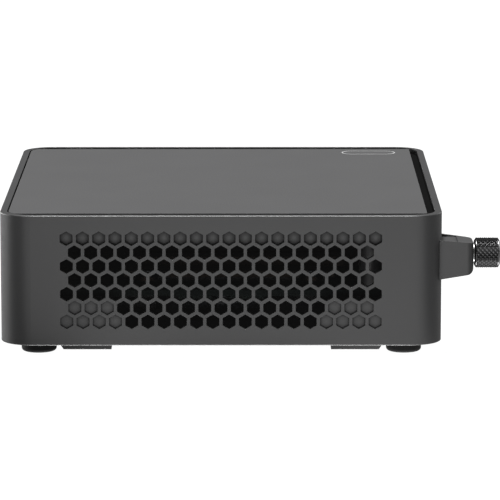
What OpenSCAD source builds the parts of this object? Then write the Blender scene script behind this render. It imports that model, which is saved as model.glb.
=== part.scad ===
// Small desktop computer of the four-inch class: a shallow grey case with a flush
// top panel, honeycomb side vents, a lift-off bottom cover, a rear lock bracket with
// a thumbscrew, and the board, cooler, memory and cards that it holds.
// X is the width (+X is on the right when facing the front), Y is the depth (+Y is
// the rear, where most sockets are) and Z is up. The origin is on the surface that
// the feet stand on, under the centre of the case.

/* [Case] */
// Width of the case
case_w = 117; // [117:0.5:119]
// Depth of the case
case_d = 112; // [112:0.5:114]
// Height of the case with its feet
case_h = 37; // [37:0.5:40]
// Radius of the upright corners
corner_r = 8; // [7:0.5:9]
// Thickness of the case walls
wall = 1.8; // [1.6:0.1:2]
// Rounding of the outer edges at the top and the bottom
edge_r = 0.25; // [0.2:0.05:0.6]

/* [Feet and mounting pads] */
// Height of the rubber feet below the case
foot_h = 3.75; // [3.5:0.25:4]
// Diameter of a foot
foot_d = 9; // [7:0.5:10]
// Distance between feet across the width
foot_span_x = 91; // [88:1:92]
// Distance between feet along the depth
foot_span_y = 93.4; // [92:0.2:94]
// Side length of a mounting pad
pad_size = 14; // [12:0.5:14]
// Height of a mounting pad below the case
pad_h = 2.6; // [2:0.1:3]
// Hole spacing of the mounting pads across the width
pad_span_x = 87; // [84:1:88]
// Hole spacing of the mounting pads along the depth
pad_span_y = 70; // [68:1:71]

/* [Side vents] */
// Distance between neighbouring cells in a row
cell_pitch = 4.1; // [4:0.05:4.2]
// Size of a cell across its flats
cell_flats = 3.25; // [2.8:0.05:3.5]
// Rows of cells on each side
cell_rows = 7; // [5:1:7]
// Cells in the longer rows
cell_columns = 20; // [12:1:20]
// Height of the top row's centre line
cell_top_z = 31.2; // [30.8:0.1:31.4]
// Depth of the closed cells in the top row
deep_recess = 1; // [0.6:0.1:1.2]
// Depth of the closed cells at the ends of the bottom rows
shallow_recess = 0.5; // [0.3:0.1:0.8]

/* [Top panel] */
// Thickness of the top panel
panel_t = 1.35; // [1.2:0.05:1.5]
// Width of the channel along the sides and the rear
channel_w = 2.1; // [1.5:0.1:2.5]
// Width of the groove along the front edge
groove_w = 0.35; // [0.25:0.05:0.5]

/* [Lock bracket] */
// Height of the bracket at its root
bracket_root_h = 10; // [9:0.5:10.5]
// Height of the bracket at its tip
bracket_tip_h = 7.9; // [7:0.1:8.5]
// Width of the bracket at its root
bracket_root_w = 12; // [11:0.5:12]
// Width of the bracket at its tip
bracket_tip_w = 9; // [8.5:0.5:10]
// How far the bracket stands out of the rear face
bracket_len = 8.1; // [7:0.1:9]
// Diameter of the thumbscrew's knob
knob_d = 7.75; // [6.5:0.25:8]
// Length of the thumbscrew's knob
knob_len = 6.5; // [5:0.25:7]

/* [Fan] */
// Side length of the blower
fan_size = 54; // [50:1:54]
// Number of blades on the blower wheel
blades = 31; // [21:2:35]

/* [Hidden] */
$fn = 64;

// Small overshoot that lets one solid cut cleanly through another
cut = 0.1;

// Levels from the bottom up
cover_t = 1.7;
cover_top = foot_h + cover_t;
board_t = 1.6;
board_low = 15.2;
board_top = board_low + board_t;
panel_top = case_h - 0.05;
panel_low = panel_top - panel_t;
carrier_t = 1;
carrier_low = panel_low - carrier_t;
ledge_t = 1.2;
ledge_low = carrier_low - ledge_t;
ledge_w = 5;

// Plan positions
front_y = -case_d / 2;
rear_y = case_d / 2;
side_x = case_w / 2;
board_w = 103;
board_front = -51;
board_rear = 52;
boss_r = 3;
boss_x = 48.5;
boss_y = [-46.5, 38];
screw_r = 1.2;
screw_hole_r = 1.25;

// Rear sockets, from the power inlet to the outer display socket
socket_face_y = rear_y - 1.1;
inlet_x = 35.95;
inlet_z = 22.3;
usb_stack_x = 23.5;
usb_stack_z = [20.4, 28.6];
network_x = 7.85;
network_z = 23.5;
display_x = [-8.2, -42.7];
display_z = 20;
usb_c_x = [-20.7, -30.15];
usb_c_z = 18.5;
io_plate_x = [-50.45, 42.6];
io_plate_t = 0.5;
window_x = [-50.3, 41.2];
window_z = [15.6, 32.4];

// Front sockets and the power button
front_usb_x = [-28, -10];
front_usb_z = 20.4;
front_usb_c_x = 8;
front_usb_c_z = 18.5;
front_face_y = front_y + 0.4;
button_x = 42;
button_z = 20.4;
button_r = 4.4;
ring_r = 5.5;
button_travel = 0.5;
running_gap = 0.05;

// Lock bracket and thumbscrew
bracket_x = 48.1;
bracket_z = 24.94;
screw_z = 25.8;
shank_r = 1.5;
shank_end_y = rear_y - 4;
washer_t = 0.25;
tip_y = rear_y + bracket_len;

// Blower
fan_x = -25;
fan_y = -1;
fan_low = 20.2;
fan_high = 31.4;
wheel_r = 24;
hub_r = 9.5;

// Cooler
die_x = 27;
die_y = 2;
cooler_screw = [19, 21];
fins_x = [-44.5, -4];
fins_y = [27, 52.6];
fins_z = [23.6, 32.2];

// Underside of the board
memory_y = -45;
memory_z = [12.7, 8.4];
card_z = 12.2;
card_t = 0.8;
ssd_x = -40;
ssd_len = 80;
wifi_x = -40;
wifi_y = 25;
wifi_len = 30;
cell_pos = [24, 24];

case_grey = [0.33, 0.33, 0.33];
panel_grey = [0.42, 0.42, 0.42];
trim_black = [0.1, 0.1, 0.1];
rubber_black = [0.12, 0.12, 0.12];
board_green = [0.05, 0.12, 0.1];
copper = [0.72, 0.43, 0.25];
bright_metal = [0.75, 0.75, 0.76];
gold = [0.83, 0.68, 0.3];
brass = [0.76, 0.62, 0.33];
socket_black = [0.08, 0.08, 0.08];

// ---- Shared shapes ----

// A rectangle with round corners, centred
module rounded_rect(size, r) {
  square([size.x - 2 * r, size.y], center = true);
  square([size.x, size.y - 2 * r], center = true);
  for (x = [-1, 1], y = [-1, 1])
    translate([x * (size.x / 2 - r), y * (size.y / 2 - r)]) circle(r);
}

// The case's outline, moved inwards
module case_outline(inset)
  rounded_rect([case_w - 2 * inset, case_d - 2 * inset], corner_r - inset);

// A plate that follows the case's outline, between two levels
module outline_plate(inset, low, high)
  translate([0, 0, low]) linear_extrude(high - low) case_outline(inset);

// Carries a section round the case; x = 0 is the outer face and y is the height
module around_case() {
  run_x = case_w - 2 * corner_r;
  run_y = case_d - 2 * corner_r;
  for (i = [0:3]) {
    east = i == 0 || i == 3 ? 1 : -1;
    north = i < 2 ? 1 : -1;
    translate([east * run_x / 2, north * run_y / 2, 0])
      rotate([0, 0, 90 * i]) rotate_extrude(angle = 90)
        translate([corner_r, 0]) children();
    run = i % 2 == 0 ? run_y : run_x;
    reach = (i % 2 == 0 ? case_w : case_d) / 2;
    rotate([0, 0, 90 * i]) translate([reach, run / 2, 0])
      rotate([90, 0, 0]) linear_extrude(run) children();
  }
}

// A block given by its lowest and highest corners
module block(low, high) translate(low) cube(high - low);

// A cylinder along Y, starting at y = 0
module along_y(r, length) rotate([-90, 0, 0]) cylinder(r = r, h = length);

// Both sides of the case from the right side's shape
module both_sides() {
  children();
  mirror([1, 0, 0]) children();
}

// One child at each corner of a rectangle
module at_corners(span_x, span_y)
  for (x = [-1, 1], y = [-1, 1]) translate([x * span_x / 2, y * span_y / 2, 0]) children();

// A screw with a cylindrical head, standing head down with the head's underside at z = 0
module screw(shank, length, head, head_h) {
  cylinder(r = shank, h = length);
  translate([0, 0, -head_h]) difference() {
    cylinder(r = head, h = head_h);
    translate([0, 0, -cut]) cylinder(r = head * 0.45, h = head_h * 0.6 + cut, $fn = 6);
  }
}

// A card edge's row of contacts or a board's row of chips
module row_of(count, pitch) for (i = [0:count - 1])
  translate([(i - (count - 1) / 2) * pitch, 0, 0]) children();

// A convex outline whose corners are arcs; each corner is [x, y, radius]
function corner_arc(before, at, after, steps) =
  let (p = [at.x, at.y],
       u = ([before.x, before.y] - p) / norm([before.x, before.y] - p),
       v = ([after.x, after.y] - p) / norm([after.x, after.y] - p),
       half = acos(u * v) / 2,
       centre = p + (u + v) / norm(u + v) * at[2] / sin(half),
       from = p + u * at[2] / tan(half) - centre,
       to = p + v * at[2] / tan(half) - centre)
  [for (s = [0:steps])
    let (mid = from * (1 - s / steps) + to * (s / steps)) centre + mid / norm(mid) * at[2]];

function rounded_corners(corners, steps = 8) =
  let (n = len(corners))
  [for (i = [0:n - 1]) each corners[i][2] == 0 ? [[corners[i].x, corners[i].y]]
    : corner_arc(corners[(i + n - 1) % n], corners[i], corners[(i + 1) % n], steps)];

// ---- Case ----

module wall_section() {
  translate([-wall, foot_h + edge_r]) square([wall, case_h - foot_h - 2 * edge_r]);
  translate([-wall, foot_h]) square([wall - edge_r, case_h - foot_h]);
  for (z = [foot_h + edge_r, case_h - edge_r]) translate([-edge_r, z]) circle(edge_r);
  translate([-ledge_w, ledge_low]) square([ledge_w - edge_r, ledge_t]);
}

// Flats and bosses in the corners, which carry the board from above
module corner_bosses() {
  intersection() {
    outline_plate(wall / 2, ledge_low, carrier_low);
    for (x = [-1, 1], y = boss_y)
      translate([x * (boss_x + 3), y + sign(y) * 2, ledge_low]) cube([15, 14, 10], center = true);
  }
  for (x = [-1, 1], y = boss_y) translate([x * boss_x, y, board_top])
    cylinder(r = boss_r, h = carrier_low - board_top);
}

module one_cell(depth) linear_extrude(depth + cut)
  rotate(90) circle(d = cell_flats / cos(30), $fn = 6);

// Closed cells: all of the top row, and the ends of the two lowest rows
function cells_in(row) = cell_columns - row % 2;
function closed_ends(row) = row >= cell_rows - 2 ? 3 + row - (cell_rows - 2) : 0;
function is_closed(row, i) = row == 0 || i < closed_ends(row) || i >= cells_in(row) - closed_ends(row);
function cell_depth(row, i) = !is_closed(row, i) ? wall + 2 * cut : row == 0 ? deep_recess : shallow_recess;

module vent_cells() for (row = [0:cell_rows - 1], i = [0:cells_in(row) - 1]) {
  depth = cell_depth(row, i);
  y = (i - (cells_in(row) - 1) / 2) * cell_pitch;
  z = cell_top_z - row * cell_pitch * cos(30);
  translate([side_x - depth, y, z]) rotate([90, 0, 90]) one_cell(depth);
}

// Openings in the front wall, each with room around what stands in it
module front_cuts() {
  for (x = front_usb_x) translate([x, front_y, front_usb_z])
    cube([13.7, 4 * wall, 6.4], center = true);
  translate([front_usb_c_x, front_y + 2 * wall, front_usb_c_z])
    rotate([90, 0, 0]) linear_extrude(4 * wall) rounded_rect([9.6, 3.8], 1.85);
  translate([button_x, front_y - cut, button_z]) along_y(ring_r, wall + 2 * cut);
}

// The latch's keeper, a notch in the rear wall that is open at the bottom
latch_w = 16;
module latch_keeper() block([-latch_w / 2 - 0.3, rear_y - wall - cut, foot_h - cut],
                            [latch_w / 2 + 0.3, rear_y - wall + 0.9, cover_top + 1.6]);

module case_shell() color(case_grey) difference() {
  union() {
    around_case() wall_section();
    corner_bosses();
    translate([bracket_x, rear_y - 7, screw_z]) along_y(3.6, 7 - wall / 2);
  }
  both_sides() vent_cells();
  block([window_x[0], rear_y - wall - cut, window_z[0]], [window_x[1], rear_y + cut, window_z[1]]);
  front_cuts();
  latch_keeper();
  translate([bracket_x, rear_y - 6, screw_z]) along_y(2.2, 6 + cut);
  for (x = [-1, 1], y = boss_y) translate([x * boss_x, y, board_top - cut])
    cylinder(r = screw_hole_r, h = 7);
}

// ---- Top ----

// The panel follows the case round its front corners and is cut straight at the sides
module panel_cut() {
  edge_x = side_x - wall - channel_w;
  rear = rear_y - wall - channel_w;
  polygon(rounded_corners([[-edge_x, front_y, 0], [edge_x, front_y, 0],
                           [edge_x, rear, 0.8], [-edge_x, rear, 0.8]]));
}

peg_span = [90, 84];
peg_r = 1.5;
module top_panel() color(panel_grey) {
  intersection() {
    outline_plate(wall + groove_w, panel_low, panel_top);
    translate([0, 0, panel_low - cut]) linear_extrude(panel_t + 2 * cut) panel_cut();
  }
  at_corners(peg_span.x, peg_span.y) translate([0, 0, carrier_low])
    cylinder(r = peg_r, h = carrier_t);
}

module top_carrier() color(trim_black) difference() {
  outline_plate(wall + 0.1, carrier_low, panel_low);
  at_corners(peg_span.x, peg_span.y) translate([0, 0, carrier_low - cut])
    cylinder(r = peg_r + running_gap, h = carrier_t + 2 * cut);
  for (x = [-1:1]) translate([x * 29, 4, carrier_low - cut])
    linear_extrude(carrier_t + 2 * cut) rounded_rect([24, 60], 4);
}

// ---- Rear panel ----

module display_outline(grow) polygon(rounded_corners(
  [[-7.1 - grow, 2.4 + grow, 0.3], [-7.1 - grow, -0.6, 0.3], [-5.2 - grow, -2.4 - grow, 0.3],
   [5.2 + grow, -2.4 - grow, 0.3], [7.1 + grow, -0.6, 0.3], [7.1 + grow, 2.4 + grow, 0.3]], 3));

module io_openings() {
  translate([inlet_x, inlet_z]) circle(4.1);
  for (z = usb_stack_z) translate([usb_stack_x, z]) square([13.5, 6.2], center = true);
  translate([network_x, network_z]) square([16.3, 13.7], center = true);
  for (x = display_x) translate([x, display_z]) display_outline(0.75);
  for (x = usb_c_x) translate([x, usb_c_z]) rounded_rect([9.4, 3.6], 1.75);
  for (x = [fins_x[0] + 3:3:fins_x[1] - 1]) translate([x, 28]) rounded_rect([1.8, 6.8], 0.85);
}

module rear_io_plate() color(trim_black)
  translate([0, rear_y - wall, 0]) rotate([90, 0, 0]) linear_extrude(io_plate_t) difference() {
    translate([io_plate_x[0], board_low + 0.1])
      square([io_plate_x[1] - io_plate_x[0], ledge_low - board_low - 0.2]);
    io_openings();
  }

// ---- Bottom cover ----

// A pad with a sloped end towards the middle of the case
module mounting_pad() {
  half = pad_size / 2;
  translate([half, 0, foot_h]) rotate([90, 0, -90]) linear_extrude(pad_size)
    polygon([[-half, 0], [half, 0], [half, -pad_h], [-half + 1.8, -pad_h]]);
}

// The latch lies on the inside of the cover, with its grip in a slot
latch_y = [38, 54.9];
latch_travel = 3;
grip = [12, 5];
grip_y = 45;
latch_t = 1.2;
module latch_slot() translate([0, grip_y - latch_travel / 2, 0])
  cube([grip.x + 0.6, grip.y + latch_travel + 0.6, 40], center = true);

module latch_rails() both_sides() {
  block([latch_w / 2 + 0.15, 39, cover_top - 0.2], [latch_w / 2 + 2, 50, cover_top + latch_t + 0.1]);
  block([latch_w / 2 - 1, 39, cover_top + latch_t + 0.1],
        [latch_w / 2 + 2, 50, cover_top + latch_t + 1.1]);
}

module bottom_cover() color(case_grey) difference() {
  union() {
    outline_plate(wall + 0.2, foot_h, cover_top);
    for (x = [-1, 1], y = [-1, 1]) translate([x * pad_span_x / 2, y * pad_span_y / 2, 0])
      mirror([0, y > 0 ? 1 : 0, 0]) mirror([0, 1, 0]) mounting_pad();
    latch_rails();
  }
  latch_slot();
  at_corners(pad_span_x, pad_span_y) cylinder(r = 2.3, h = cover_top + 1);
}

module mounting_inserts() color(brass) at_corners(pad_span_x, pad_span_y)
  translate([0, 0, foot_h - pad_h]) difference() {
    cylinder(r = 2.3, h = cover_t + pad_h);
    translate([0, 0, -cut]) cylinder(r = 1.5, h = cover_t + pad_h + 2 * cut);
  }

module rubber_feet() color(rubber_black) at_corners(foot_span_x, foot_span_y) rotate_extrude() {
  round_r = 0.8;
  translate([0, round_r]) square([foot_d / 2, foot_h - round_r]);
  square([foot_d / 2 - round_r, foot_h]);
  translate([foot_d / 2 - round_r, round_r]) circle(round_r);
}

module cover_latch() color(trim_black) {
  block([-latch_w / 2, latch_y[0], cover_top], [latch_w / 2, latch_y[1], cover_top + latch_t]);
  translate([0, grip_y, 0]) difference() {
    block([-grip.x / 2, -grip.y / 2, foot_h + 0.2], [grip.x / 2, grip.y / 2, cover_top]);
    for (y = [-1.5:1.5:1.5]) translate([0, y, foot_h]) cube([grip.x - 2, 0.6, 0.8], center = true);
  }
}

module cover_heat_plate() color(bright_metal)
  block([-34, -11, cover_top], [34, 11, 8.6]);

module ssd_thermal_pad() color([0.62, 0.66, 0.7])
  block([-32, -9.5, 8.6], [34, 9.5, card_z - 1.5]);

// ---- Power button ----

module power_button() color(trim_black) translate([button_x, 0, button_z]) {
  translate([0, front_y + 0.1, 0]) along_y(button_r, wall + 0.5);
  translate([0, front_y + wall + 0.3, 0]) along_y(5.2, 0.6);
  translate([0, front_y + wall + 0.6, 0]) along_y(1.5, 0.8);
}

module button_light_ring() color([0.75, 0.82, 0.88]) translate([button_x, front_y, button_z])
  difference() {
    along_y(ring_r, wall);
    translate([0, -cut, 0]) along_y(button_r + running_gap, wall + 2 * cut);
  }

module power_switch() color(socket_black) {
  block([button_x - 3.5, -51.8, board_top], [button_x + 3.5, -47.5, board_top + 5.4]);
  translate([button_x, -52.25, button_z]) along_y(1.2, 0.6);
}

// ---- Board ----

module at_cooler_screws(z) translate([die_x, die_y, z])
  at_corners(2 * cooler_screw.x, 2 * cooler_screw.y) children();

module motherboard() color(board_green) difference() {
  block([-board_w / 2, board_front, board_low], [board_w / 2, board_rear, board_top]);
  for (x = [-1, 1], y = boss_y) translate([x * boss_x, y, board_low - cut])
    cylinder(r = 1.7, h = board_t + 2 * cut);
  at_cooler_screws(board_low - cut) cylinder(r = 1.3, h = board_t + 2 * cut);
}

module board_screws() color(bright_metal) for (x = [-1, 1], y = boss_y)
  translate([x * boss_x, y, board_low]) screw(screw_r, 7, 2.7, 1.6);

module processor() color([0.2, 0.22, 0.24]) {
  block([die_x - 12.5, die_y - 25, board_top], [die_x + 12.5, die_y + 25, board_top + 1.2]);
  block([die_x - 5, die_y - 12, board_top], [die_x + 5, die_y + 12, board_top + 1.8]);
}

cold_low = board_top + 1.8;
cold_high = cold_low + 1.5;
lug_t = 1;
module cold_plate() color(copper) difference() {
  union() {
    block([die_x - 16.4, die_y - 27, cold_low], [die_x + 16.4, die_y + 27, cold_high]);
    at_cooler_screws(cold_low) cylinder(r = 3, h = lug_t);
    for (y = [-1, 1]) translate([die_x, die_y + y * cooler_screw.y, cold_low + lug_t / 2])
      cube([2 * cooler_screw.x, 4, lug_t], center = true);
  }
  at_cooler_screws(cold_low - cut) cylinder(r = 1.4, h = lug_t + 2 * cut);
}

// Two flattened pipes that run back from the processor and turn under the fins
pipe_w = 6;
pipe_t = 2.4;
pipes_rear_y = 38.6;
module heat_pipe(x, y) {
  bend = 6;
  block([x - pipe_w / 2, die_y - 24, cold_high], [x + pipe_w / 2, y - bend, cold_high + pipe_t]);
  translate([x - bend, y - bend, cold_high]) rotate_extrude(angle = 90)
    translate([bend - pipe_w / 2, 0]) square([pipe_w, pipe_t]);
  block([fins_x[0], y - pipe_w / 2, cold_high], [x - bend, y + pipe_w / 2, cold_high + pipe_t]);
}

module heat_pipes() color(copper) {
  heat_pipe(die_x + 6, pipes_rear_y - pipe_w / 2);
  heat_pipe(die_x - 3, pipes_rear_y - pipe_w * 3 / 2 - 0.1);
}

module fin_stack() color([0.7, 0.7, 0.7]) {
  block([fins_x[0], fins_y[0], fins_z[1] - 0.4], [fins_x[1], fins_y[1], fins_z[1]]);
  block([fins_x[0], fins_y[0], cold_high + pipe_t], [fins_x[1], pipes_rear_y, fins_z[0]]);
  for (x = [fins_x[0]:1.6:fins_x[1] - 0.3])
    block([x, fins_y[0], fins_z[0] - 0.2], [x + 0.3, fins_y[1], fins_z[1]]);
}

module cooler_screws() color(bright_metal) at_cooler_screws(cold_low + lug_t)
  mirror([0, 0, 1]) screw(1.1, cold_low + lug_t - board_low, 2.4, 1.4);

// ---- Blower ----

module fan_outline() rounded_rect([fan_size, fan_size], 4);

module fan_chamber() {
  circle(wheel_r + 1.2);
  translate([-wheel_r - 1.2, 0]) square([2 * wheel_r + 2.4, fan_size]);
}

module fan_housing() color(trim_black) translate([fan_x, fan_y, fan_low]) difference() {
  linear_extrude(fan_high - fan_low - 0.6) fan_outline();
  translate([0, 0, 1]) linear_extrude(fan_high) fan_chamber();
  translate([0, 0, -cut]) cylinder(r = 2.52, h = 2);
  at_corners(fan_size - 5, fan_size - 5) translate([0, 0, 4]) cylinder(r = 0.75, h = 20);
}

module fan_cover() color(bright_metal) translate([fan_x, fan_y, fan_high - 0.6])
  linear_extrude(0.6) difference() {
    fan_outline();
    circle(17);
    for (x = [-1, 1], y = [-1, 1]) translate([x, y] * (fan_size - 5) / 2) circle(0.9);
  }

module fan_screws() color(bright_metal) translate([fan_x, fan_y, fan_high])
  at_corners(fan_size - 5, fan_size - 5) mirror([0, 0, 1]) screw(0.7, 4, 1.4, 0.6);

module fan_bearing() color(brass) translate([fan_x, fan_y, fan_low]) difference() {
  cylinder(r = 2.5, h = 6.4);
  translate([0, 0, 0.4]) cylinder(r = 0.8, h = 7);
}

module fan_stator() color(copper) translate([fan_x, fan_y, fan_low + 1.2]) difference() {
  union() {
    cylinder(r = 3.4, h = 4.4);
    for (a = [0:60:300]) rotate([0, 0, a]) translate([3, -1.6, 0.6]) cube([4.2, 3.2, 3.2]);
  }
  translate([0, 0, -cut]) cylinder(r = 2.5, h = 6);
}

module fan_rotor() color([0.16, 0.16, 0.17]) translate([fan_x, fan_y, fan_low + 1.4]) {
  difference() {
    cylinder(r = hub_r, h = 8);
    translate([0, 0, -cut]) cylinder(r = hub_r - 1, h = 7.1);
    cylinder(r = 0.75, h = 9);
  }
  difference() {
    for (i = [0:blades - 1]) rotate([0, 0, i * 360 / blades])
      translate([hub_r - 0.6, 0, 0.4]) rotate([0, 0, 38]) cube([16.5, 0.5, 7.2]);
    difference() {
      translate([0, 0, -1]) cylinder(r = 40, h = 12);
      translate([0, 0, -1]) cylinder(r = wheel_r, h = 12);
    }
  }
}

module fan_shaft() color(bright_metal) translate([fan_x, fan_y, fan_low + 0.6])
  cylinder(r = 0.75, h = 8.8);

// ---- Memory and cards under the board ----

module memory_socket() color(socket_black) difference() {
  union() {
    block([-36.5, memory_y - 4, 6.2], [36.5, memory_y + 3, board_low]);
    both_sides() for (z = memory_z)
      block([34.2, memory_y + 2.8, z - 0.8], [36.5, memory_y + 28, z + 2.4]);
    both_sides() block([34.2, memory_y + 2.8, 7.6], [36.5, memory_y + 8, board_low]);
  }
  for (z = memory_z) block([-34, memory_y, z - 0.1], [34, memory_y + 3.2, z + 1.1]);
}

// A module's board with its chips on both faces and its row of contacts
module memory_module(z) {
  color([0.06, 0.2, 0.14]) block([-33.8, memory_y + 0.4, z], [33.8, memory_y + 30.4, z + 1]);
  color(socket_black) translate([0, memory_y + 18, z - 1]) row_of(4, 15.5)
    translate([-5.5, -7, 0]) cube([11, 14, 3]);
}

module memory_module_upper() memory_module(memory_z[0]);
module memory_module_lower() memory_module(memory_z[1]);

// A card socket at the end of a card that lies along X
module card_socket(x, y) color(socket_black) difference() {
  block([x - 5, y - 11.5, card_z - 1.2], [x + 3, y + 11.5, board_low]);
  block([x - 0.1, y - 11.1, card_z - 0.05], [x + 4, y + 11.1, card_z + card_t + 0.05]);
}

module card(x, y, length) difference() {
  block([x, y - 11, card_z], [x + length, y + 11, card_z + card_t]);
  translate([x + length, y, card_z - cut]) cylinder(r = 1.8, h = card_t + 2 * cut);
}

module ssd_socket() card_socket(ssd_x, 0);
module ssd_card() color(board_green) {
  card(ssd_x, 0, ssd_len);
  for (part = [[8, 9, 12], [24, 17, 14], [44, 17, 14], [63, 8, 10]])
    translate([ssd_x + part[0], -part[2] / 2, card_z - 1.5]) cube([part[1], part[2], 1.6]);
}

module wifi_socket() card_socket(wifi_x, wifi_y);
module wifi_card() color(board_green) {
  card(wifi_x, wifi_y, wifi_len);
  translate([wifi_x + 7, wifi_y - 8, card_z - 1.4]) cube([13, 16, 1.5]);
  for (y = [-8.5, 8.5]) translate([wifi_x + 24, wifi_y + y, card_z - 0.9]) cylinder(r = 1, h = 1);
}

card_ends = [[ssd_x + ssd_len, 0], [wifi_x + wifi_len, wifi_y]];
module card_standoffs() color(brass) for (p = card_ends)
  translate([p.x, p.y, card_z + card_t]) difference() {
    cylinder(r = 2.8, h = board_low - card_z - card_t);
    translate([0, 0, -cut]) cylinder(r = screw_hole_r, h = board_low - card_z - card_t);
  }

module card_screws() color(bright_metal) for (p = card_ends)
  translate([p.x, p.y, card_z]) screw(screw_r, 2.4, 2.7, 0.9);

module coin_cell_holder() color(socket_black) translate([cell_pos.x, cell_pos.y, 0]) difference() {
  translate([0, 0, board_low - 5]) cylinder(r = 11.6, h = 5);
  translate([0, 0, board_low - 6]) cylinder(r = 10.1, h = 5);
  block([-14, -6, board_low - 7], [-9, 6, board_low - 1]);
}

module coin_cell() color([0.72, 0.72, 0.72])
  translate([cell_pos.x, cell_pos.y, board_low - 4.6]) {
    cylinder(r = 9, h = 3.5);
    translate([0, 0, 0.6]) cylinder(r = 10, h = 2.9);
  }

// Flat aerials on the underside of the carrier, with leads down to the wireless card
aerial_x = 25;
aerial_y = -36;
aerial_z = carrier_low - 0.4;
module antennas() color(gold) both_sides()
  block([aerial_x - 18, aerial_y - 4, aerial_z], [aerial_x + 18, aerial_y + 4, carrier_low]);

lead_r = 0.5;
lead_sides = 8;

// A tube along a route: a ring of points square to the route at each of its points
function unit(v) = v / norm(v);
function along(route, i) = unit(route[min(i + 1, len(route) - 1)] - route[max(i - 1, 0)]);
function ring_at(centre, dir) =
  let (side = unit(cross(dir, abs(dir.z) > 0.9 ? [1, 0, 0] : [0, 0, 1])), up = cross(dir, side))
  [for (k = [0:lead_sides - 1])
    centre + lead_r * (side * cos(k * 360 / lead_sides) + up * sin(k * 360 / lead_sides))];

module tube(route) {
  n = lead_sides;
  last = (len(route) - 1) * n;
  polyhedron(
    points = [for (i = [0:len(route) - 1]) each ring_at(route[i], along(route, i))],
    faces = concat([[for (k = [0:n - 1]) k]], [[for (k = [n - 1:-1:0]) last + k]],
      [for (i = [0:len(route) - 2], k = [0:n - 1])
        let (a = i * n + k, b = i * n + (k + 1) % n) [a, a + n, b + n, b]]));
}

// Points between a route's corners, on a curve that passes through each of them
function smooth(p, steps = 4) = [for (i = [0:len(p) - 2], s = [0:steps - 1])
  let (t = s / steps, a = p[max(i - 1, 0)], b = p[i], c = p[i + 1], d = p[min(i + 2, len(p) - 1)])
  b + (c - a) * t / 2 + (a * 2 - b * 5 + c * 4 - d) * t * t / 2
    + (b * 3 - a - c * 3 + d) * t * t * t / 2];

// Along the left wall, down past the board's edge and in to the card
function lead_route(start_x, lane, card_y) = [
  [start_x, aerial_y, aerial_z - lead_r], [start_x - 12, aerial_y, aerial_z - lead_r - 0.1],
  [-49 - lane, -37, 32.6], [-54 - lane, -31, 31], [-54 - lane, -16, 28],
  [-54 - lane, -2, 22], [-54 - lane, 6, 16], [-53 - lane, 10, 12],
  [-48, card_y - 4, 10.2], [wifi_x + 8, card_y, 10.2], [wifi_x + 22, card_y, 10.6]];

module antenna_leads() color([0.15, 0.15, 0.15]) {
  tube(smooth(lead_route(-10, 0, wifi_y - 8.5)));
  tube(smooth(lead_route(10, 1.3, wifi_y + 8.5)));
}

// ---- Sockets; each is drawn with its mouth at y = 0 and its body behind it ----

module usb_socket(length) {
  difference() {
    translate([0, length / 2, 0]) cube([13.1, length, 5.8], center = true);
    translate([0, length / 2 - 2, 0]) cube([12.4, length, 5.1], center = true);
  }
  block([-5.6, 1, 0.5], [5.6, length - 1, 2]);
}

module usb_c_socket(length) translate([0, length, 0]) rotate([90, 0, 0]) {
  linear_extrude(length) difference() {
    rounded_rect([9, 3.2], 1.55);
    rounded_rect([8.4, 2.6], 1.25);
  }
  linear_extrude(length - 0.8) square([6.7, 0.7], center = true);
  linear_extrude(1.5) rounded_rect([9, 3.2], 1.55);
}

module display_socket(length) translate([0, length, 0]) rotate([90, 0, 0]) {
  linear_extrude(length) difference() {
    display_outline(0.5);
    display_outline(0);
  }
  linear_extrude(length - 1) square([10.4, 1], center = true);
  linear_extrude(1.5) display_outline(0.5);
}

// Turned so that the mouth faces the rear
module facing_rear(x, z) translate([x, socket_face_y, z]) rotate([0, 0, 180]) children();
module facing_front(x, z) translate([x, front_face_y, z]) children();
// A block of solder legs and housing between a socket and the board
module socket_foot(x, y, w, top) block([x - w / 2, y[0], board_top], [x + w / 2, y[1], top]);

module power_inlet() color(socket_black) {
  difference() {
    union() {
      block([inlet_x - 4.7, 41.5, board_top],
            [inlet_x + 4.7, rear_y - wall - io_plate_t - 0.1, inlet_z + 5.5]);
      translate([inlet_x, 50, inlet_z]) along_y(3.9, socket_face_y - 50);
    }
    translate([inlet_x, socket_face_y - 9.5, inlet_z]) along_y(3.2, 12);
  }
  translate([inlet_x, socket_face_y - 10, inlet_z]) along_y(1.2, 9.2);
}

module rear_usb_sockets() color(bright_metal) {
  for (z = usb_stack_z) facing_rear(usb_stack_x, z) usb_socket(16);
  socket_foot(usb_stack_x, [40, 52.8], 13.1, usb_stack_z[0] - 2.8);
  block([usb_stack_x - 6.55, 40, usb_stack_z[0] + 2.8], [usb_stack_x + 6.55, 52.8, usb_stack_z[1] - 2.8]);
}

module rear_usb_c_sockets() color(bright_metal) for (x = usb_c_x) {
  facing_rear(x, usb_c_z) usb_c_socket(9);
  socket_foot(x, [46.5, 52.8], 7, usb_c_z - 1.5);
}

module network_socket() color(bright_metal) difference() {
  block([network_x - 8, 39, board_top], [network_x + 8, socket_face_y, network_z + 6.7]);
  block([network_x - 5.9, 43, network_z - 3.6], [network_x + 5.9, rear_y, network_z + 4]);
  block([network_x - 3, 46, network_z - 5.6], [network_x + 3, rear_y, network_z]);
}

module display_sockets() color(bright_metal) for (x = display_x) {
  facing_rear(x, display_z) display_socket(11.5);
  socket_foot(x, [44.5, 52.8], 11, display_z - 2.7);
}

module front_usb_sockets() color(bright_metal) for (x = front_usb_x) {
  facing_front(x, front_usb_z) usb_socket(14);
  socket_foot(x, [-50, -43], 13.1, front_usb_z - 2.8);
}

module front_usb_c_socket() color(bright_metal) {
  facing_front(front_usb_c_x, front_usb_c_z) usb_c_socket(9);
  socket_foot(front_usb_c_x, [-50, -47], 7, front_usb_c_z - 1.5);
}

// ---- Lock bracket ----

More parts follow.
